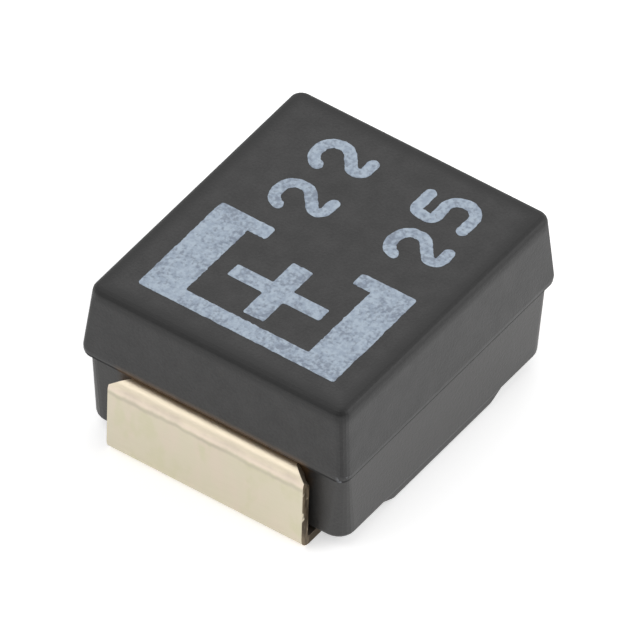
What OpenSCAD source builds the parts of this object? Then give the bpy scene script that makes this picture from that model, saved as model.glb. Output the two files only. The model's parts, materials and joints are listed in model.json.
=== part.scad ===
// Moulded tantalum chip capacitor, B case, with folded sheet terminals.
// Millimetres. The origin is the middle of the footprint on the board, +Z is up,
// and +X runs from the anode end, which carries the polarity mark, to the cathode end.

/* [Case] */
// Width of the case at its widest line
case_width = 2.92; // [2.4:0.02:3.6]
// Height of the top face above the board
case_height = 1.76; // [1.4:0.02:2.2]
// Height of the parting line, where the two mould halves meet
parting_height = 0.89; // [0.8:0.005:1]
// Height of the undercut from the parting line to the rim
undercut_height = 0.05; // [0.02:0.005:0.1]
// Height of the rounded rim from its lower edge to the widest line
rim_height = 0.09; // [0.03:0.005:0.15]
// Setback of the rim's lower edge from the widest line
rim_setback = 0.03; // [0.01:0.005:0.05]
// Setback of the top face at each end
top_setback_end = 0.05; // [0:0.01:0.12]
// Setback of the top face at each side
top_setback_side = 0.065; // [0:0.005:0.12]
// Setback of the parting line at each end
parting_setback_end = 0.08; // [0.04:0.01:0.14]
// Setback of the parting line at each side
parting_setback_side = 0.05; // [0.04:0.005:0.1]
// Further setback of the underside at each end
base_setback_end = 0.02; // [0:0.01:0.12]
// Further setback of the underside at each side
base_setback_side = 0.01; // [0:0.005:0.08]
// Radius along the edge of the top face
top_edge_radius = 0.065; // [0.03:0.005:0.12]
// Radius along the lower edge of the case
base_edge_radius = 0.05; // [0.03:0.005:0.1]
// Corner radius of the top face
top_corner_radius = 0.12; // [0.08:0.01:0.2]
// Corner radius at the widest line
widest_corner_radius = 0.12; // [0.06:0.01:0.25]
// Corner radius at the parting line
parting_corner_radius = 0.1; // [0.06:0.01:0.25]
// Corner radius of the underside
base_corner_radius = 0.18; // [0.1:0.01:0.3]

/* [Underside] */
// Height of the middle band above the board
band_height = 0.02; // [0:0.005:0.05]
// Length of the ramp at each end of the band
band_ramp = 0.24; // [0.05:0.01:0.3]
// Setback of the band at each side of the underside
band_setback = 0.02; // [0:0.005:0.05]
// Gap between the tip of a foot and the ramp of the band
foot_tip_gap = 0.04; // [0.02:0.01:0.2]
// Clearance between the foot of a terminal and the case above it
foot_clearance = 0.03; // [0.01:0.005:0.06]

/* [Terminals] */
// Length over the two terminals
overall_length = 3.5; // [2.8:0.02:4.4]
// How far each terminal stands out past the widest line of the case
terminal_reach = 0.08; // [0.03:0.01:0.15]
// Thickness of the terminal sheet
sheet = 0.1; // [0.08:0.01:0.12]
// Inner radius of the folds
fold_radius = 0.03; // [0.02:0.005:0.05]
// Width of a terminal outside the case
terminal_width = 2.14; // [1.7:0.02:2.6]
// Width of the shoulder on each side of the neck
shoulder_width = 0.16; // [0.1:0.005:0.25]
// Length of the foot under the case
foot_length = 0.8; // [0.6:0.01:1]
// Corner radius of the foot's tip
foot_corner_radius = 0.06; // [0.02:0.01:0.15]

/* [Element] */
// Wall between the cathode riser and the end of the case
end_wall = 0.15; // [0.08:0.01:0.3]
// Wall between the element and each side of the case
side_wall = 0.27; // [0.1:0.01:0.5]
// Wall over the element
top_wall = 0.18; // [0.1:0.01:0.4]
// Wall under the tongue
floor_wall = 0.13; // [0.08:0.005:0.2]
// Space from the anode end of the case to the pellet
anode_space = 0.87; // [0.75:0.01:1]
// Edge radius of the pellet
pellet_edge_radius = 0.08; // [0.02:0.01:0.15]
// Thickness of each cathode coat
coat = 0.03; // [0.02:0.005:0.04]
// Diameter of the tantalum wire
wire_diameter = 0.24; // [0.16:0.01:0.3]
// Depth of the wire inside the pellet
wire_depth = 0.9; // [0.4:0.05:1.1]
// Length of the wire outside the pellet
wire_lead = 0.58; // [0.5:0.01:0.64]
// Depth of the flat pressed on the wire where it is welded
weld_flat = 0.02; // [0.01:0.005:0.04]
// Outer diameter of the washer round the wire
washer_diameter = 0.64; // [0.4:0.02:0.8]
// Thickness of the washer
washer_thickness = 0.08; // [0.04:0.01:0.12]

/* [Lead frame inside the case] */
// Width of the tab under the wire
weld_tab_width = 0.7; // [0.4:0.02:1]
// Length of the neck inside the case before it narrows to the tab
neck_seat = 0.3; // [0.15:0.01:0.35]
// Gap between the end of the weld tab and the washer
weld_tab_gap = 0.12; // [0.08:0.01:0.16]
// Gap between the silver coat and the riser of the cathode frame
riser_gap = 0.07; // [0.04:0.01:0.1]
// Horizontal lean of the riser over its height
riser_lean = 0.08; // [0.02:0.01:0.1]
// Length of the tongue under the pellet
tongue_length = 1.1; // [0.6:0.02:1.4]
// Width of the tongue
tongue_width = 1.4; // [0.8:0.02:1.7]
// Thickness of the silver adhesive
adhesive_thickness = 0.04; // [0.02:0.005:0.05]
// Margin of the adhesive inside the edges of the tongue
adhesive_margin = 0.08; // [0.04:0.01:0.2]

/* [Hidden] */

$fn = 48;
corner_steps = 6;   // facets round a corner of the case
edge_steps = 5;     // facets across a rounded edge of the case
cut = 1;            // how far a cutter runs past what it cuts

case_length = overall_length - 2 * terminal_reach;
rim_low = parting_height + undercut_height;
widest_height = rim_low + rim_height;
parting_end = case_length / 2 - parting_setback_end;
parting_side = case_width / 2 - parting_setback_side;
land_height = sheet + foot_clearance;             // underside of the case over the feet
band_half_width = parting_side - base_setback_side - band_setback;
ramp_end = overall_length / 2 - foot_length - foot_tip_gap;

fold_outer = fold_radius + sheet;
fold_x = overall_length / 2 - fold_outer;         // centre of both folds, along X
neck_width = terminal_width - 2 * shoulder_width;
neck_top = parting_height;                        // the frame lies right under the parting line
neck_bottom = neck_top - sheet;
upper_fold_z = neck_top - fold_outer;

coats = 3 * coat;
riser_head = parting_end - end_wall - sheet;      // inner face of the riser at the neck
riser_foot = riser_head - riser_lean;             // inner face of the riser at the tongue
element_end = riser_foot - riser_gap;
tongue_bottom = land_height + floor_wall;
tongue_top = tongue_bottom + sheet;
tongue_end = riser_foot + sheet - tongue_length;
pellet_bottom = tongue_top + adhesive_thickness + coats;
pellet_height = case_height - top_wall - coats - pellet_bottom;
pellet_width = 2 * (parting_side - side_wall - coats);
pellet_start = anode_space - parting_end;         // anode face of the pellet, along X
pellet_length = element_end - coats - pellet_start;
wire_height = neck_top + wire_diameter / 2 - weld_flat;
washer_start = pellet_start - washer_thickness;
weld_tab_end = washer_start - weld_tab_gap;

// One quarter turn of points, from angle 0 to 90 degrees.
function quarter(steps) = [for (i = [0:steps]) 90 * i / steps];

// Value part of the way from one size to another.
function between(from, to, share) = from + (to - from) * share;

// Outline of the case at one level: [height, half length, half width, corner radius].
function ring(level) = [
    for (q = [0:3], a = quarter(corner_steps))
        let (r = level[3], sx = (q == 0 || q == 3) ? 1 : -1, sy = q < 2 ? 1 : -1)
            [sx * (level[1] - r) + r * cos(a + 90 * q),
             sy * (level[2] - r) + r * sin(a + 90 * q),
             level[0]]
];

// Solid skin through a list of levels, from the lowest to the highest.
module loft(levels) {
    n = 4 * (corner_steps + 1);
    top = len(levels) - 1;
    sides = [
        for (k = [0:top - 1], i = [0:n - 1])
            let (j = (i + 1) % n, a = k * n + i, b = k * n + j)
                each [[a, a + n, b + n], [a, b + n, b]]
    ];
    caps = [[for (i = [0:n - 1]) i], [for (i = [0:n - 1]) top * n + n - 1 - i]];
    polyhedron(points = [for (level = levels) each ring(level)], faces = concat(sides, caps));
}

// Rectangle with round corners, centred on the origin.
module rounded_rectangle(length, width, radius) {
    square([length - 2 * radius, width], center = true);
    square([length, width - 2 * radius], center = true);
    for (sx = [-1, 1], sy = [-1, 1])
        translate([sx * (length / 2 - radius), sy * (width / 2 - radius)])
            circle(radius);
}

// Turns a section drawn in X and Z into a bar of a given width along Y.
module across(width) {
    rotate([90, 0, 0])
        linear_extrude(width, center = true)
            children();
}

// Quarter of a folded sheet, with its centre at the origin and its bulge towards -X.
module fold_section(up) {
    intersection() {
        difference() {
            circle(fold_outer);
            circle(fold_radius);
        }
        translate([-fold_outer, up ? 0 : -fold_outer])
            square(fold_outer);
    }
}

// ---- Outer form of the case ----

function lower_levels() = [
    for (a = quarter(edge_steps))
        let (in = base_edge_radius * (1 - sin(a)), z = land_height + base_edge_radius * (1 - cos(a)),
             share = (parting_height - z) / (parting_height - land_height))
            [z,
             parting_end - base_setback_end * share - in,
             parting_side - base_setback_side * share - in,
             between(parting_corner_radius, base_corner_radius, share) - in]
];

function rim_levels() = [
    for (a = quarter(edge_steps))
        let (in = rim_setback * (1 - sin(a)))
            [rim_low + rim_height * (1 - cos(a)),
             case_length / 2 - in,
             case_width / 2 - in,
             widest_corner_radius - in]
];

function upper_levels() = [
    for (a = quarter(edge_steps))
        let (in = top_edge_radius * (1 - cos(a)), z = case_height - top_edge_radius * (1 - sin(a)),
             share = (z - widest_height) / (case_height - widest_height))
            [z,
             case_length / 2 - top_setback_end * share - in,
             case_width / 2 - top_setback_side * share - in,
             between(widest_corner_radius, top_corner_radius, share) - in]
];

module case_skin() {
    parting = [parting_height, parting_end, parting_side, parting_corner_radius];
    loft(concat(lower_levels(), [parting], rim_levels(), upper_levels()));
}

// Band that stands down to the board between the two feet.
module middle_band() {
    flat = ramp_end - band_ramp;
    rise = land_height - band_height;
    overlap = base_edge_radius;
    intersection() {
        across(2 * band_half_width)
            polygon([[-flat, band_height], [flat, band_height],
                     [ramp_end, land_height], [ramp_end, land_height + overlap],
                     [-ramp_end, land_height + overlap], [-ramp_end, land_height]]);
        rotate([90, 0, 90])
            linear_extrude(case_length, center = true)
                translate([0, band_height + rise])
                    rounded_rectangle(2 * band_half_width, 2 * rise, rise / 2);
    }
}

// ---- Terminals ----

// Both folds, the upright and the foot, with the foot under the case at +X of the upright.
module terminal_shell(neck_run) {
    difference() {
        across(terminal_width) {
            translate([-fold_x, upper_fold_z])
                fold_section(up = true);
            translate([-fold_x, fold_outer])
                fold_section(up = false);
            translate([-fold_x - fold_outer, fold_outer])
                square([sheet, upper_fold_z - fold_outer]);
            translate([-fold_x, neck_bottom])
                square([neck_run, sheet]);
            translate([-fold_x, 0])
                square([foot_length - fold_outer, sheet]);
        }
        shoulders();
        foot_corners();
    }
}

// Sloped shoulders, cut square to the sheet in the middle of the upper fold.
module shoulders() {
    low = -0.3 * fold_outer;
    high = fold_outer * sin(45);
    for (side = [-1, 1])
        translate([-fold_x, 0, upper_fold_z])
            rotate([0, -45, 0])
                linear_extrude(4 * fold_outer, center = true)
                    polygon([[low, side * terminal_width / 2], [high, side * neck_width / 2],
                             [high + cut, side * neck_width / 2],
                             [high + cut, side * (terminal_width / 2 + cut)],
                             [low, side * (terminal_width / 2 + cut)]]);
}

// Rounds the two corners at the tip of the foot.
module foot_corners() {
    tip = -fold_x - fold_outer + foot_length;
    r = foot_corner_radius;
    for (side = [-1, 1])
        translate([tip - r, side * (terminal_width / 2 - r), -cut / 2])
            difference() {
                translate([0, side > 0 ? 0 : -r - cut, 0])
                    cube([r + cut, r + cut, cut / 2 + 2 * sheet]);
                translate([0, 0, -cut])
                    cylinder(r = r, h = 3 * cut);
            }
}

module anode_frame() {
    neck_end = neck_seat - parting_end;
    terminal_shell(sheet);
    translate([-fold_x + sheet, -neck_width / 2, neck_bottom])
        cube([neck_end + fold_x - sheet, neck_width, sheet]);
    translate([neck_end, -weld_tab_width / 2, neck_bottom])
        cube([weld_tab_end - neck_end, weld_tab_width, sheet]);
}

module cathode_frame() {
    mirror([1, 0, 0])
        terminal_shell(sheet);
    across(neck_width)
        translate([riser_head, neck_bottom])
            square([fold_x - sheet - riser_head, sheet]);
    across(tongue_width)
        polygon([[riser_head, neck_bottom], [riser_head, neck_top], [riser_head + sheet, neck_top],
                 [riser_head + sheet, neck_bottom], [riser_foot + sheet, tongue_bottom],
                 [tongue_end, tongue_bottom], [tongue_end, tongue_top], [riser_foot, tongue_top]]);
}

// ---- Capacitor element ----

// The pellet grown by a number of coats on every face but the anode face.
module element_block(grow) {
    translate([pellet_start, 0, pellet_bottom + pellet_height / 2])
        rotate([90, 0, 90])
            linear_extrude(pellet_length + grow)
                rounded_rectangle(pellet_width + 2 * grow, pellet_height + 2 * grow,
                                  pellet_edge_radius + grow);
}

module coat_shell(count) {
    difference() {
        element_block(count * coat);
        element_block((count - 1) * coat);
    }
}

module along_wire(start, length, diameter) {
    translate([start, 0, wire_height])
        rotate([0, 90, 0])
            cylinder(d = diameter, h = length);
}

module wire_form() {
    along_wire(pellet_start - wire_lead, wire_lead + wire_depth, wire_diameter);
}

// ---- Nodes ----

module moulded_case() {
    color("#484848")
        difference() {
            union() {
                case_skin();
                middle_band();
            }
            anode_frame();
            cathode_frame();
            element_block(coats);
            anode_wire();
            wire_washer();
            silver_adhesive();
        }
}

module anode_terminal() {
    color("#d6cbb0") anode_frame();
}

module cathode_terminal() {
    color("#d6cbb0") cathode_frame();
}

module anode_wire() {
    color("#8d9096")
        difference() {
            wire_form();
            anode_frame();
        }
}

module wire_washer() {
    color("#f2f2ee")
        difference() {
            along_wire(washer_start, washer_thickness, washer_diameter);
            along_wire(washer_start - cut, washer_thickness + 2 * cut, wire_diameter);
        }
}

module tantalum_pellet() {
    color("#5d5f66")
        difference() {
            element_block(0);
            wire_form();
        }
}

module polymer_layer() {
    color("#1d2430") coat_shell(1);
}

module carbon_layer() {
    color("#2b2b2b") coat_shell(2);
}

module silver_layer() {
    color("#c9ccd1") coat_shell(3);
}

module silver_adhesive() {
    length = element_end - tongue_end - 2 * adhesive_margin;
    width = tongue_width - 2 * adhesive_margin;
    color("#b4b6ba")
        translate([tongue_end + adhesive_margin, -width / 2, tongue_top])
            cube([length, width, adhesive_thickness]);
}

moulded_case();
anode_terminal();
cathode_terminal();
anode_wire();
wire_washer();
tantalum_pellet();
polymer_layer();
carbon_layer();
silver_layer();
silver_adhesive();
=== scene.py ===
import json
import math

import bpy
import numpy as np
from mathutils import Matrix, Vector


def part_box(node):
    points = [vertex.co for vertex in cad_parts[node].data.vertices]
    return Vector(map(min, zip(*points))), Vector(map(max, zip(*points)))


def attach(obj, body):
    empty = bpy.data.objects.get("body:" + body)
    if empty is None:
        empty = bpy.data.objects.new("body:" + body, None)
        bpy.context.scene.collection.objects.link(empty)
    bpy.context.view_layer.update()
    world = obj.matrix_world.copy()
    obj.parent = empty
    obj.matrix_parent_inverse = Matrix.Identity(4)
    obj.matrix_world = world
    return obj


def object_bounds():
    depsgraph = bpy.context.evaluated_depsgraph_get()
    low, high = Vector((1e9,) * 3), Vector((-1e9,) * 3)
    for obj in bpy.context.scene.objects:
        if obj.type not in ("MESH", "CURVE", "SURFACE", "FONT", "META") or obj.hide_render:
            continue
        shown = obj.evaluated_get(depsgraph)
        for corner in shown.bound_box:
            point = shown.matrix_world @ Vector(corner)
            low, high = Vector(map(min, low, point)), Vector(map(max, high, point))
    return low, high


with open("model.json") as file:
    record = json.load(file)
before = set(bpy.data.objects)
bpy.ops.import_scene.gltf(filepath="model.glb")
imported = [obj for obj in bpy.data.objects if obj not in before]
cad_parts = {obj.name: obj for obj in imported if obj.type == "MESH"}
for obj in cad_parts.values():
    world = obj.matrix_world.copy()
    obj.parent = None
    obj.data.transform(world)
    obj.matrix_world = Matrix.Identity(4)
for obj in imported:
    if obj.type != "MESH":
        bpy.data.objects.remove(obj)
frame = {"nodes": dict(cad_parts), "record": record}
cadLow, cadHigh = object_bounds()
mm = 0.001  # one millimetre in scene units
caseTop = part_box("moulded_case")[1].z


class Tone:
    # one socket of a material; arithmetic on it adds Math nodes
    def __init__(self, tree, socket=None):
        self.tree = tree
        self.socket = socket

    def feed(self, node, values):
        for name, value in values.items():
            if isinstance(value, Tone):
                self.tree.links.new(value.socket, node.inputs[name])
            else:
                node.inputs[name].default_value = value

    def node(self, kind, settings, values, output=0):
        # any node: its settings first, then the values or links of its sockets
        made = self.tree.nodes.new(kind)
        for name, value in settings.items():
            setattr(made, name, value)
        self.feed(made, values)
        return Tone(self.tree, made.outputs[output])

    def math(self, operation, *others):
        values = dict(enumerate((self, *others)))
        return self.node("ShaderNodeMath", {"operation": operation}, values)

    def __add__(self, other):
        return self.math("ADD", other)

    def __sub__(self, other):
        return self.math("SUBTRACT", other)

    def __rsub__(self, other):
        return self.math("MULTIPLY", -1).math("ADD", other)

    def __mul__(self, other):
        return self.math("MULTIPLY", other)

    __radd__ = __add__
    __rmul__ = __mul__


def millimetres(tone, stretch=(1, 1, 1)):
    # Object coordinates in millimetres, each axis times its own stretch
    place = tone.node("ShaderNodeTexCoord", {}, {}, "Object")
    scale = tuple(s / mm for s in stretch)
    return tone.node("ShaderNodeVectorMath", {"operation": "MULTIPLY"}, {0: place, 1: scale})


def noise(point, perMillimetre, detail=2.0, rough=0.5):
    values = {"Vector": point, "Scale": perMillimetre, "Detail": detail, "Roughness": rough}
    return point.node("ShaderNodeTexNoise", {"normalize": True}, values)


def parts(point):
    # the three coordinates of a vector
    return [point.node("ShaderNodeSeparateXYZ", {}, {0: point}, k) for k in range(3)]


def step(value, low, high):
    # smooth step from 0 at low to 1 at high
    values = {"Value": value, "From Min": low, "From Max": high}
    return value.node("ShaderNodeMapRange", {"interpolation_type": "SMOOTHSTEP"}, values)


def between(value, rise, fall):
    # smooth band: 0, then 1 from the end of rise to the start of fall, then 0 again
    return step(value, *rise) * (1 - step(value, *fall))


def swung(amount, texture, swing):
    # amount + swing (texture - 1/2), for a texture that runs from 0 to 1
    return amount + (texture - 0.5) * swing


def mixColour(share, first, second):
    # first where share is 0, second where it is 1; each a colour or another mix
    first, second = (c if isinstance(c, Tone) else (*c, 1) for c in (first, second))
    values = {0: share, 6: first, 7: second}    # a Mix node's colours are its sockets 6 and 7
    return share.node("ShaderNodeMix", {"data_type": "RGBA"}, values, 2)


def bump(height, depth, over=None):
    # height from 0 to 1 raised by depth mm, over the surface's own normal or another one
    values = {"Distance": depth * mm, "Height": height}
    if over is not None:
        values["Normal"] = over
    return height.node("ShaderNodeBump", {}, values, "Normal")


def material(name):
    made = bpy.data.materials.new(name)
    made.use_nodes = True
    return made, Tone(made.node_tree), made.node_tree.nodes["Principled BSDF"]


epoxy = {
    "dark": (0.0035, 0.0033, 0.0034),
    "pale": (0.0255, 0.0248, 0.0250),
    "lower": (0.046, 0.0445, 0.043),    # painted light: the lower half is paler, for the light its downward-tilted faces catch from the floor
    "edge": (0.004, 0.004, 0.004),      # painted shade on the rounded top edge, and on the underside of the rim
    "gapShade": (0.085, 0.047, 0.020),     # painted shade with a reflected gold tint, where a terminal comes out
    # painted highlight on the rim's corners
    "cornerGlint": (0.24, 0.25, 0.27),
    "roughness": 0.42,
    "roughnessSwing": 0.18,
    "edgeDull": 0.1,    # added to the roughness of the edge
    "underDull": 0.5,   # and of the rim's underside
    # sizes of the textures, in patches a millimetre
    "grain": 38,        # pits across the mould's eroded face
    "cloud": 5,
    "gapShadeBlots": 7,
    "cornerGlintSpecks": 15,
    "grainDepth": 0.0028,
    # shares of the textures and colours, and how far a texture swings them
    "grainShare": 0.55,
    "cloudShare": 0.45,
    "lowerLightShare": 0.75,
    "lowerLightSwing": 0.9,
    "edgeShadeShare": 0.8,
    "edgeShadeSwing": 0.8,
    "crispFlat": 0.6,   # how much of its upward slope a crisped corner keeps
    # texture values between which one colour turns into the next
    "paleFrom": (0.3, 0.72),
    "gapShadeFrom": (0.2, 0.5),
    "cornerGlintFrom": (0.46, 0.56),
}

# where each finish of the case rises from nothing to full, and where it falls again, in mm:
# along and across from the middle, level from the floor
caseZones = {
    "lowerLightLevel": (0.90, 0.945),
    "edgeAlong": (1.41, 1.56), "edgeAcross": (1.19, 1.34), "edgeLevel": (1.60, 1.68),
    "gapShadeAlong": (1.5, 1.56), "gapShadeAcross": (0.98, 1.1),
    "gapShadeLevel": (0.5, 0.8), "gapShadeTop": (0.97, 1.05),
    "underLevel": (0.91, 0.935), "underTop": (0.965, 0.995),
    "cornerGlintAlong": (1.55, 1.62), "cornerGlintAcross": (1.35, 1.41),
    "cornerGlintLevel": (0.93, 0.955), "cornerGlintTop": (1.0, 1.04),
    "crispLevel": (1.0, 1.06), "crispTop": (1.62, 1.70),
}


def crisped(tone, share):
    # normal with its x and y each times their own size cubed, and its z flattened, so that a round
    # upright corner reads as a crisp one; share says where
    normal = tone.node("ShaderNodeTexCoord", {}, {}, "Normal")
    x, y, z = parts(normal)
    x, y = (c * (c * c * c).math("ABSOLUTE") for c in (x, y))
    bent = tone.node("ShaderNodeCombineXYZ", {}, {0: x, 1: y, 2: z * epoxy["crispFlat"]})
    values = {0: share, 4: normal, 5: bent}    # a Mix node's vectors are its sockets 4 and 5
    mixed = tone.node("ShaderNodeMix", {"data_type": "VECTOR"}, values, 1)
    return tone.node("ShaderNodeVectorMath", {"operation": "NORMALIZE"}, {0: mixed})


def mouldedEpoxy():
    # black filled epoxy: mix(dark, pale, cloud and grain), pitted all over by the mould's face
    made, tone, surface = material("mouldedEpoxy")
    point = millimetres(tone)
    x, y, z = parts(point)
    x, y = x.math("ABSOLUTE"), y.math("ABSOLUTE")
    cloud = noise(point, epoxy["cloud"], detail=3)
    grain = noise(point, epoxy["grain"], detail=3, rough=0.6)
    blend = cloud * epoxy["cloudShare"] + grain * epoxy["grainShare"]
    colour = mixColour(step(blend, *epoxy["paleFrom"]), epoxy["dark"], epoxy["pale"])
    zones = caseZones
    # painted light: paler below the parting line
    lower = 1 - step(z, *zones["lowerLightLevel"])
    lowerLightShare = swung(epoxy["lowerLightShare"], grain, epoxy["lowerLightSwing"])
    colour = mixColour(lower * lowerLightShare, colour, epoxy["lower"])
    # top edge: painted shade, high up and near the outline of the top face, where the rounded edge
    # reflects the dim side of the room
    outline = step(x, *zones["edgeAlong"]).math("MAXIMUM", step(y, *zones["edgeAcross"]))
    edge = outline * step(z, *zones["edgeLevel"])
    edgeShadeShare = swung(epoxy["edgeShadeShare"], cloud, epoxy["edgeShadeSwing"])
    colour = mixColour(edge * edgeShadeShare, colour, epoxy["edge"])
    # painted shade with a reflected gold tint: a band under and over the parting line, as wide as
    # the terminal
    outlet = step(x, *zones["gapShadeAlong"]) * (1 - step(y, *zones["gapShadeAcross"]))
    outlet = outlet * between(z, zones["gapShadeLevel"], zones["gapShadeTop"])
    blot = step(noise(point, epoxy["gapShadeBlots"]), *epoxy["gapShadeFrom"])
    colour = mixColour(outlet * blot, colour, epoxy["gapShade"])
    # underside of the rim: dull, and painted dark as shade in the undercut
    under = between(z, zones["underLevel"], zones["underTop"])
    colour = mixColour(under * (1 - outlet), colour, epoxy["edge"])
    # painted highlight: light specks on the rim, at its four corners, where its rounded edge
    # catches the floor's light
    rim = between(z, zones["cornerGlintLevel"], zones["cornerGlintTop"])
    rim = rim * step(x, *zones["cornerGlintAlong"]) * step(y, *zones["cornerGlintAcross"])
    speck = step(noise(point, epoxy["cornerGlintSpecks"]), *epoxy["cornerGlintFrom"])
    colour = mixColour(rim * speck, colour, epoxy["cornerGlint"])
    rough = swung(epoxy["roughness"], grain, epoxy["roughnessSwing"])
    upright = between(z, zones["crispLevel"], zones["crispTop"])
    tone.feed(surface, {
        "Base Color": colour,
        "Roughness": rough + under * epoxy["underDull"] + edge * epoxy["edgeDull"],
        "Normal": bump(grain, epoxy["grainDepth"], crisped(tone, upright)),
    })
    return made


plating = {
    "colour": (0.655, 0.605, 0.480),
    "pink": (0.675, 0.600, 0.495),
    "straw": (0.625, 0.590, 0.435),
    "foldHighlight": (0.93, 0.83, 0.66),    # painted highlight: the fold's reflection of the light overhead
    # painted highlight, tinted pink, up the fold below the brightest band
    "pinkHighlight": (0.80, 0.695, 0.58),
    "foldDarkLine": (0.50, 0.455, 0.36),      # faint darker line where the fold runs into the upright
    "cutEdge": (0.26, 0.205, 0.135),
    # painted shade on the sheared edges' inner side, over the brown bare core
    "cutEdgeShade": (0.085, 0.062, 0.036),
    # a bright burr, partly a painted glint
    "burrGlint": (0.95, 0.86, 0.68),
    "thickness": 0.1,       # of the sheet, in mm
    "roughness": 0.50,
    "roughnessSwing": 0.14,
    "shearedDull": 0.1,     # added to the roughness of the sheared edges
    "shearedTarnish": 0.3,  # taken from their metallic share
    # sizes of the textures, in patches a millimetre, and how each is squeezed along X, Y and Z
    "streaks": 9, "streakStretch": (6, 0.5, 6),
    "patches": 3.2, "patchStretch": (1, 1, 0.5),
    "stains": 5.5, "stainStretch": (1.3, 1, 0.6),
    "shearStreaks": 8, "shearStretch": (2.5, 1, 0.6),
    "fineGrain": 60,
    "burrGlintBreaks": 8,
    "streakDepth": 0.0012,
    "streakShare": 0.6,
    "fineShare": 0.4,
    "outerPull": 2,         # how strongly a sheared edge's bright parts keep to its outer side
    # texture values between which one colour turns into the next
    "pinkFrom": (0.42, 0.66),
    "strawFrom": (0.5, 0.72),
    "strawShare": 0.85,
    "foldDarkLineLeast": 0.2, "foldDarkLinePatch": 0.8,    # least share, and what the patches add to it
    "pinkHighlightLeast": 0.5, "pinkHighlightStain": 0.8,
    "coreFrom": (0.45, 0.75),
    "burrGlintFrom": (0.64, 0.76),
    # levels of the fold's marks, in mm from the floor, and how far the stains move them
    "foldDarkLineLevel": (0.705, 0.745), "foldDarkLineTop": (0.745, 0.785),
    "pinkHighlightLevel": (0.755, 0.80),
    "foldHighlightLevel": (0.80, 0.85),
    "levelSwing": 0.07,
    "sheared": (0.45, 0.8),    # sideways slope of a face that counts as a sheared edge
}


def platedSheet():
    # satin plating: mix(colour, pink, patches), then straw by the stains, with drawn streaks and
    # painted highlights up the fold; the sheared edges show the bare core, darker inside as
    # painted shade
    made, tone, surface = material("platedSheet")
    point = millimetres(tone)
    x, y, z = parts(point)
    # 0 at the inner face of an upright sheet, its thickness at the outer one
    outwards = x.math("ABSOLUTE") - (cadHigh.x / mm - plating["thickness"])
    along = millimetres(tone, plating["streakStretch"])
    drawn = noise(along, plating["streaks"], detail=3, rough=0.6)
    patch = noise(millimetres(tone, plating["patchStretch"]), plating["patches"], detail=3)
    stain = noise(millimetres(tone, plating["stainStretch"]), plating["stains"], detail=3)
    fine = noise(point, plating["fineGrain"])
    colour = mixColour(step(patch, *plating["pinkFrom"]), plating["colour"], plating["pink"])
    straw = step(stain, *plating["strawFrom"]) * plating["strawShare"]
    colour = mixColour(straw, colour, plating["straw"])
    # fold: a darker line, then a pink painted highlight and the bright painted highlight at the
    # top, follow each other up the bend
    level = swung(z, stain, plating["levelSwing"])
    foldDarkLine = between(level, plating["foldDarkLineLevel"], plating["foldDarkLineTop"])
    foldDarkLine = foldDarkLine * (plating["foldDarkLineLeast"] + patch * plating["foldDarkLinePatch"])
    colour = mixColour(foldDarkLine, colour, plating["foldDarkLine"])
    # painted highlight, tinted pink
    pinkHighlight = step(level, *plating["pinkHighlightLevel"])
    pinkHighlight = pinkHighlight * (plating["pinkHighlightLeast"] + stain * plating["pinkHighlightStain"])
    colour = mixColour(pinkHighlight, colour, plating["pinkHighlight"])
    # painted highlight: the fold's reflection of the light overhead
    colour = mixColour(step(level, *plating["foldHighlightLevel"]), colour, plating["foldHighlight"])
    # sheared edge: brown bare core, painted darker towards the inner face as shade from the gap
    # behind it, with a bright broken burr along the outer corner that is partly a painted glint
    normal = tone.node("ShaderNodeTexCoord", {}, {}, "Normal")
    sheared = step(parts(normal)[1].math("ABSOLUTE"), *plating["sheared"])
    down = millimetres(tone, plating["shearStretch"])
    streak = noise(down, plating["shearStreaks"], detail=3, rough=0.6)
    core = step(streak + outwards * plating["outerPull"], *plating["coreFrom"])
    colour = mixColour(sheared, colour, mixColour(core, plating["cutEdgeShade"], plating["cutEdge"]))
    broken = noise(point, plating["burrGlintBreaks"])
    burrGlint = sheared * step(broken + outwards * plating["outerPull"], *plating["burrGlintFrom"])
    colour = mixColour(burrGlint, colour, plating["burrGlint"])
    rough = swung(plating["roughness"], drawn, plating["roughnessSwing"])
    relief = drawn * plating["streakShare"] + fine * plating["fineShare"]
    tone.feed(surface, {
        "Base Color": colour,
        "Metallic": 1 - sheared * plating["shearedTarnish"],
        "Roughness": rough + sheared * plating["shearedDull"],
        "Normal": bump(relief, plating["streakDepth"]),
    })
    return made


ink = {
    "pale": (0.458, 0.540, 0.634),
    "blue": (0.345, 0.416, 0.514),
    "worn": (0.150, 0.175, 0.235),     # where the film is thin
    "roughness": 0.6,
    "roughnessSwing": 0.2,
    # sizes of the textures, in patches a millimetre
    "mottle": 17,
    "patches": 3.5,
    "pits": 28,
    "pitDepth": 0.7,        # share of the epoxy's own
    "pitShare": 0.6,        # in what wears the ink, and the patches' share in it
    "patchShare": 0.4,
    # texture values between which one colour turns into the next
    "paleFrom": (0.36, 0.62),
    "wornFrom": (0.46, 0.64),
    "wornShare": 0.62,
}


def markingInk():
    # thin pale blue ink, mottled where it lies over the pits of the epoxy
    made, tone, surface = material("markingInk")
    point = millimetres(tone)
    mottle = noise(point, ink["mottle"], detail=3, rough=0.6)
    patch = noise(point, ink["patches"])
    pit = noise(point, ink["pits"])
    colour = mixColour(step(mottle, *ink["paleFrom"]), ink["blue"], ink["pale"])
    wear = pit * ink["pitShare"] + patch * ink["patchShare"]
    colour = mixColour(step(wear, *ink["wornFrom"]) * ink["wornShare"], colour, ink["worn"])
    tone.feed(surface, {
        "Base Color": colour,
        "Roughness": swung(ink["roughness"], mottle, ink["roughnessSwing"]),
        "Normal": bump(pit, epoxy["grainDepth"] * ink["pitDepth"]),
    })
    return made


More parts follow.
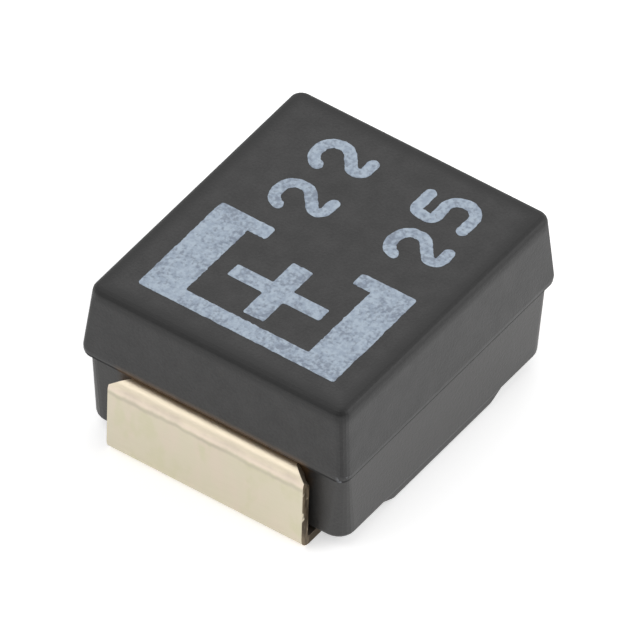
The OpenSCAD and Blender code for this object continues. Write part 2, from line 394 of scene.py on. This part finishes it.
# finishes of the pieces inside the case, by material slot
innerFinishes = {
    "tantalum_wire": {
        "name": "drawnTantalum",
        "dark": (0.24, 0.25, 0.28), "pale": (0.33, 0.34, 0.37),
        "grain": 14, "depth": 0.0015, "stretch": (0.3, 4, 4),
        "roughness": 0.38, "metallic": 1.0,
    },
    "white_washer": {
        "name": "whiteWasher",
        "dark": (0.76, 0.76, 0.72), "pale": (0.86, 0.86, 0.83),
        "grain": 22, "depth": 0.001,
        "roughness": 0.45, "metallic": 0.0,
    },
    "sintered_tantalum": {
        "name": "sinteredTantalum",
        "dark": (0.05, 0.052, 0.06), "pale": (0.15, 0.155, 0.17),
        "grain": 30, "depth": 0.006,
        "roughness": 0.75, "metallic": 0.6,
    },
    "conductive_polymer": {
        "name": "conductivePolymer",
        "dark": (0.012, 0.018, 0.03), "pale": (0.03, 0.035, 0.05),
        "grain": 18, "depth": 0.002,
        "roughness": 0.55, "metallic": 0.0,
    },
    "carbon_coat": {
        "name": "carbonCoat",
        "dark": (0.02, 0.02, 0.02), "pale": (0.045, 0.045, 0.045),
        "grain": 26, "depth": 0.002,
        "roughness": 0.7, "metallic": 0.0,
    },
    "silver_paint": {
        "name": "silverPaint",
        "dark": (0.42, 0.43, 0.44), "pale": (0.62, 0.63, 0.65),
        "grain": 24, "depth": 0.003,
        "roughness": 0.42, "metallic": 0.9,
    },
    "silver_adhesive": {
        "name": "silverAdhesive",
        "dark": (0.3, 0.3, 0.31), "pale": (0.48, 0.49, 0.51),
        "grain": 16, "depth": 0.003,
        "roughness": 0.5, "metallic": 0.8,
    },
}


def grainy(name, dark, pale, grain, depth, roughness, metallic, stretch=(1, 1, 1)):
    # two-tone grain: base = mix(dark, pale, texture), with the texture raised by depth
    made, tone, surface = material(name)
    texture = noise(millimetres(tone, stretch), grain, detail=4, rough=0.6)
    tone.feed(surface, {
        "Base Color": mixColour(step(texture, 0.35, 0.65), dark, pale),
        "Metallic": metallic,
        "Roughness": swung(roughness, texture, 0.25),
        "Normal": bump(texture, depth),
    })
    return made


def dressNodes():
    finishes = {"moulded_epoxy": mouldedEpoxy(), "plated_terminal": platedSheet()}
    finishes.update({slot: grainy(**row) for slot, row in innerFinishes.items()})
    for part in frame["record"]["subparts"]:
        slots = frame["nodes"][part["node"]].data.materials
        for index in range(len(slots)):
            slots[index] = finishes[part["material_slot"]]


# the ink printed on the top face
film = {
    "thickness": 0.0015 * mm,
    "step": 0.012 * mm,      # spacing of the sections along a stroke
    "across": 7,             # points across a stroke
    "ragged": 0.007 * mm,    # how far the edge of the ink wanders
    "lump": 0.035 * mm,      # how long each wander is
    "coarseShare": 0.65,
    "fineShare": 0.35,
    "finer": 2.5,            # how many times shorter the fine wanders are
    "capEnd": 0.985,         # share of a rounded end that is drawn in before it closes flat
    "arcPoints": 14,
}
rng = np.random.default_rng(11)    # every wander of the ink's edges is drawn from here


def wander(length, count):
    # smooth random offsets along an edge: coarse knots plus finer ones, joined by straight lines
    s = np.linspace(0, length, count)
    total = np.zeros(count)
    fineLump = film["lump"] / film["finer"]
    for share, knot in ((film["coarseShare"], film["lump"]), (film["fineShare"], fineLump)):
        knots = max(3, int(length / knot))
        total += share * np.interp(s, np.linspace(0, length, knots), rng.uniform(-1, 1, knots))
    return film["ragged"] * total


def distances(points):
    # length run along a line of points, up to each point
    return np.concatenate([[0], np.cumsum(np.linalg.norm(np.diff(points, axis=0), axis=1))])


def evenly(points, spacing):
    # the same line with its points an even distance apart
    run = distances(points)
    s = np.linspace(0, run[-1], max(4, int(round(run[-1] / spacing)) + 1))
    return np.stack([np.interp(s, run, points[:, k]) for k in (0, 1)], axis=1)


def roundedPath(corners, radii):
    # straight runs joined by arcs: each inner corner is filleted with its own radius
    corners = np.array(corners, float)
    runs = [corners[:1]]
    for k, radius in enumerate(radii):
        before, corner, after = corners[k:k + 3]
        a = (before - corner) / np.linalg.norm(before - corner)
        b = (after - corner) / np.linalg.norm(after - corner)
        half = math.acos(np.clip(a @ b, -1, 1)) / 2
        centre = corner + (a + b) / np.linalg.norm(a + b) * radius / math.sin(half)
        start, end = (corner + d * radius / math.tan(half) - centre for d in (a, b))
        turn = math.atan2(start[0] * end[1] - start[1] * end[0], start @ end)
        angles = math.atan2(start[1], start[0]) + turn * np.linspace(0, 1, film["arcPoints"])
        runs.append(centre + radius * np.stack([np.cos(angles), np.sin(angles)], axis=1))
    runs.append(corners[-1:])
    return evenly(np.concatenate(runs) * mm, film["step"])


def softer(line):
    # each inner point = a quarter of both its neighbours and half of itself
    return line[:-2] * 0.25 + line[1:-1] * 0.5 + line[2:] * 0.25


def inkPiece(name, points, faces):
    mesh = bpy.data.meshes.new(name)
    mesh.from_pydata(points.tolist(), [], faces)
    mesh.materials.append(inkMaterial)
    mesh.update()
    piece = bpy.data.objects.new(name, mesh)
    bpy.context.scene.collection.objects.link(piece)
    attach(piece, "root")


def gridFaces(rows, columns):
    # quads of a grid whose columns close on themselves
    i = np.arange(rows - 1)[:, None]
    j = np.arange(columns)[None, :]
    after = (j + 1) % columns
    quads = [i * columns + j, i * columns + after,
             (i + 1) * columns + after, (i + 1) * columns + j]
    return np.stack(quads, axis=-1).reshape(-1, 4).tolist()


def layRibbon(name, left, right, tip):
    # point(u, v) = left(u) + v (right(u) - left(u)), with a skirt down to the case; towards both
    # ends, s from the nearer one, each edge draws in by tip - sqrt(tip^2 - (tip - s)^2)
    s = distances((left + right) / 2)
    outward = left - right
    outward /= np.linalg.norm(outward, axis=1)[:, None]
    short = np.clip(tip - np.minimum(s, s[-1] - s), 0, tip * film["capEnd"])
    pinch = tip - np.sqrt(tip ** 2 - short ** 2)
    left = left - outward * (pinch - wander(s[-1], len(s)))[:, None]
    right = right + outward * (pinch - wander(s[-1], len(s)))[:, None]
    v = np.linspace(0, 1, film["across"])[None, :, None]
    sheet = left[:, None] + v * (right - left)[:, None]
    level = np.full(sheet.shape[:2] + (1,), caseTop + film["thickness"])
    upper = np.concatenate([sheet, level], axis=2)
    lower = upper[:, [-1, 0]].copy()
    lower[:, :, 2] = caseTop
    section = np.concatenate([upper, lower], axis=1)
    rows, columns = section.shape[:2]
    faces = gridFaces(rows, columns)
    faces.append(list(reversed(range(columns))))
    faces.append([(rows - 1) * columns + j for j in range(columns)])
    inkPiece(name, section.reshape(-1, 3), faces)


bracket = {
    "barOuter": -1.318, "barInner": -1.135,    # X of the bar's two edges
    "armEnd": -0.018, "hookInner": -0.185,     # X of the hooks' two edges
    "outer": 1.070, "inner": 0.672,            # Y of the arms' two edges
    "reach": 0.475,                            # Y that the hooks reach in to
    "tip": 0.035,                              # radius that rounds the hooks' ends
    "softened": 5,                             # passes that round its corners
}


def layBracket():
    # outer and inside edge of a squared C: half of each, then its mirror image in Y
    b = bracket
    outer = [(b["armEnd"], b["reach"]), (b["armEnd"], b["outer"]), (b["barOuter"], b["outer"])]
    inside = [(b["hookInner"], b["reach"]), (b["hookInner"], b["inner"]),
              (b["barInner"], b["inner"])]
    edges = [np.array(half + [(x, -y) for x, y in reversed(half)]) for half in (outer, inside)]
    # both edges share their stations, so that the corners stay opposite each other
    lengths = np.linalg.norm(np.diff(edges[0], axis=0), axis=1) * mm
    counts = np.maximum(4, np.round(lengths / film["step"])).astype(int)
    runs = [k + np.arange(count) / count for k, count in enumerate(counts)]
    stations = np.concatenate(runs + [[len(counts)]])
    knots = np.arange(len(edges[0]))
    left, right = (np.stack([np.interp(stations, knots, e[:, k]) for k in (0, 1)], axis=1) * mm
                   for e in edges)
    for edge in (left, right):
        for _ in range(b["softened"]):
            edge[1:-1] = softer(edge)
    layRibbon("polarity_bracket", right, left, b["tip"] * mm)


plus = {
    "centre": (-0.672, -0.010),
    "along": (0.388, 0.112),     # half length and half width of the arm along X
    "across": (0.502, 0.083),    # the same for the arm along Y
    "softened": 3,               # passes that round its corners
    "rings": 5,
    "innerRing": 0.15,           # size of the innermost ring, which a single face fills
}


def layPlus():
    # point(u, v) = centre + v outline(u): rings inside a cross's outline, and a skirt round it
    ax, ay = plus["along"]
    by, bx = plus["across"]
    cross = [(ax, -ay), (ax, ay), (bx, ay), (bx, by), (-bx, by), (-bx, ay),
             (-ax, ay), (-ax, -ay), (-bx, -ay), (-bx, -by), (bx, -by), (bx, -ay), (ax, -ay)]
    outline = evenly(np.array(cross) * mm, film["step"])[:-1]
    for _ in range(plus["softened"]):
        outline = softer(np.concatenate([outline[-1:], outline, outline[:1]]))
    count = len(outline)
    away = outline / np.linalg.norm(outline, axis=1)[:, None]
    outline = outline + away * wander(distances(outline)[-1], count)[:, None]
    v = np.linspace(1, plus["innerRing"], plus["rings"])
    upper = v[:, None, None] * outline[None]
    rings = np.concatenate([outline[None], upper])
    level = np.full(rings.shape[:2] + (1,), caseTop + film["thickness"])
    level[0] = caseTop
    points = np.concatenate([rings, level], axis=2).reshape(-1, 3)
    points[:, :2] += np.array(plus["centre"]) * mm
    faces = gridFaces(len(rings), count)
    faces.append([(len(rings) - 1) * count + j for j in range(count)])
    faces.append(list(reversed(range(count))))
    inkPiece("polarity_plus", points, faces)


digits = {
    "stroke": 0.118,
    # corners of each digit round its own middle, and the radius that each inner corner gets
    "two": [(-0.17, 0.10), (-0.17, 0.26), (0.17, 0.26), (0.17, 0.03), (-0.19, -0.25),
            (0.19, -0.25)],
    "twoRadii": [0.15, 0.15, 0.14, 0.075],
    "five": [(0.16, 0.25), (-0.16, 0.25), (-0.17, 0.035), (0.18, 0.06), (0.18, -0.26),
             (-0.19, -0.26)],
    "fiveRadii": [0.06, 0.06, 0.15, 0.15],
    "places": [("two", 0.42, 0.50), ("two", 1.05, 0.51), ("two", 0.51, -0.70),
               ("five", 1.08, -0.62)],
}


def layDigits():
    # two edges half a stroke either side of each digit's line
    half = digits["stroke"] / 2 * mm
    for number, (kind, x, y) in enumerate(digits["places"], 1):
        line = roundedPath(digits[kind], digits[kind + "Radii"])
        line = line + np.array([x, y]) * mm
        along = np.gradient(line, axis=0)
        along /= np.linalg.norm(along, axis=1)[:, None]
        side = np.stack([-along[:, 1], along[:, 0]], axis=1) * half
        layRibbon(f"digit_{number}", line + side, line - side, half)


inkMaterial = markingInk()
dressNodes()
layBracket()
layPlus()
layDigits()
print("laid the marking, 6 pieces")


studio = {
    "floorRadius": 90 * mm,
    "floorSides": 96,
    "floor": (0.88, 0.88, 0.88),
    "floorRoughness": 0.9,
    "floorGlow": (0.52, 0.52, 0.52),    # added where the camera and glossy rays see it
    "world": 0.62,
    "worldMirrored": 0.19,              # more of it in reflections
    "darkSide": (-0.596, -0.404, 0.695),    # the room is dimmer towards here
    "darkCone": (0.62, 0.93),           # cosines at which the dimness starts and is full
    "darkness": 0.8,
    "lamps": [             # direction from the part, distance and size in mm, radiance
        ((-0.45, 0.15, 1.0), 60, 46, 1.5),
        ((0.6, -1.0, 0.7), 70, 60, 2.0),
        ((0.75, 0.5, 0.8), 70, 50, 0.7),
    ],
}


def makeFloor():
    bpy.ops.mesh.primitive_circle_add(
        vertices=studio["floorSides"], radius=studio["floorRadius"], fill_type="NGON")
    floor = bpy.context.object
    floor.name = "floor"
    made, tone, surface = material("floor")
    seen = tone.node("ShaderNodeLightPath", {}, {}, "Is Camera Ray")
    mirrored = tone.node("ShaderNodeLightPath", {}, {}, "Is Glossy Ray")
    through = tone.node("ShaderNodeLightPath", {}, {}, "Is Transmission Ray")
    shown = (seen + mirrored + through).math("MINIMUM", 1.0)
    tone.feed(surface, {
        "Base Color": (*studio["floor"], 1),
        "Roughness": studio["floorRoughness"],
        "Specular IOR Level": 0.0,
        "Emission Color": mixColour(shown, (0, 0, 0), studio["floorGlow"]),
        "Emission Strength": 1.0,
    })
    # clear from below, so that the underside can be looked at
    clear = tone.node("ShaderNodeBsdfTransparent", {}, {})
    behind = tone.node("ShaderNodeNewGeometry", {}, {}, "Backfacing")
    solid = Tone(made.node_tree, surface.outputs[0])
    mixed = tone.node("ShaderNodeMixShader", {}, {0: behind, 1: solid, 2: clear})
    made.node_tree.links.new(mixed.socket, made.node_tree.nodes["Material Output"].inputs[0])
    floor.data.materials.append(made)


def makeLights():
    world = bpy.data.worlds.new("studio")
    bpy.context.scene.world = world
    world.use_nodes = True
    tone = Tone(world.node_tree)
    seen = tone.node("ShaderNodeLightPath", {}, {}, "Is Camera Ray")
    mirrored = tone.node("ShaderNodeLightPath", {}, {}, "Is Glossy Ray")
    around = tone.node("ShaderNodeTexCoord", {}, {}, "Generated")
    facing = tone.node("ShaderNodeVectorMath", {"operation": "DOT_PRODUCT"},
                       {0: around, 1: studio["darkSide"]}, "Value")
    lit = studio["world"] + mirrored * studio["worldMirrored"]
    lit = (1 - step(facing, *studio["darkCone"]) * studio["darkness"]) * lit
    # plain white where the camera sees it, the lit strength elsewhere
    strength = lit * (1 - seen) + seen
    background = world.node_tree.nodes["Background"]
    tone.feed(background, {"Color": (1, 1, 1, 1), "Strength": strength})
    for number, (direction, distance, size, radiance) in enumerate(studio["lamps"]):
        lamp = bpy.data.lights.new(f"softbox{number}", "AREA")
        lamp.shape = "DISK"
        lamp.size = size * mm
        # a disc's power is pi times its radiance times its area
        lamp.energy = radiance * math.pi * math.pi * (size * mm / 2) ** 2
        place = Vector(direction).normalized() * distance * mm
        holder = bpy.data.objects.new(lamp.name, lamp)
        holder.location = place
        holder.rotation_mode = "QUATERNION"
        holder.rotation_quaternion = place.to_track_quat("Z", "Y")
        bpy.context.scene.collection.objects.link(holder)


view = {
    "turn": -55.8564,      # degrees from +X to the view's right
    "down": 44.0057,       # degrees the camera looks down
    "roll": 1.7,
    "distance": 207.69,    # from the middle of the part, in mm
    "offset": (0.0115, 0.0075),    # from there, to the view's right and up
    "lens": 1304,
    "sensor": 36,
    "clip": (10, 2000),
}


def makeCamera():
    turn, down, roll = (math.radians(view[k]) for k in ("turn", "down", "roll"))
    right = Vector((math.cos(turn), math.sin(turn), 0))
    level = Vector((-math.sin(turn), math.cos(turn), 0))
    forward = level * math.cos(down) - Vector((0, 0, math.sin(down)))
    up = right.cross(forward)
    across = right * math.cos(roll) + up * math.sin(roll)
    upward = up * math.cos(roll) - right * math.sin(roll)
    data = bpy.data.cameras.new("camera")
    data.lens = view["lens"]
    data.sensor_width = view["sensor"]
    data.clip_start, data.clip_end = (c * mm for c in view["clip"])
    camera = bpy.data.objects.new("camera", data)
    bpy.context.scene.collection.objects.link(camera)
    dx, dy = view["offset"]
    place = (cadLow + cadHigh) / 2 + (across * dx + upward * dy - forward * view["distance"]) * mm
    turned = Matrix((across, upward, -forward)).transposed().to_4x4()
    camera.matrix_world = Matrix.Translation(place) @ turned
    bpy.context.scene.camera = camera


makeFloor()
makeLights()
makeCamera()
bpy.context.scene.view_settings.view_transform = "Standard"
print("set the floor, lights and camera")
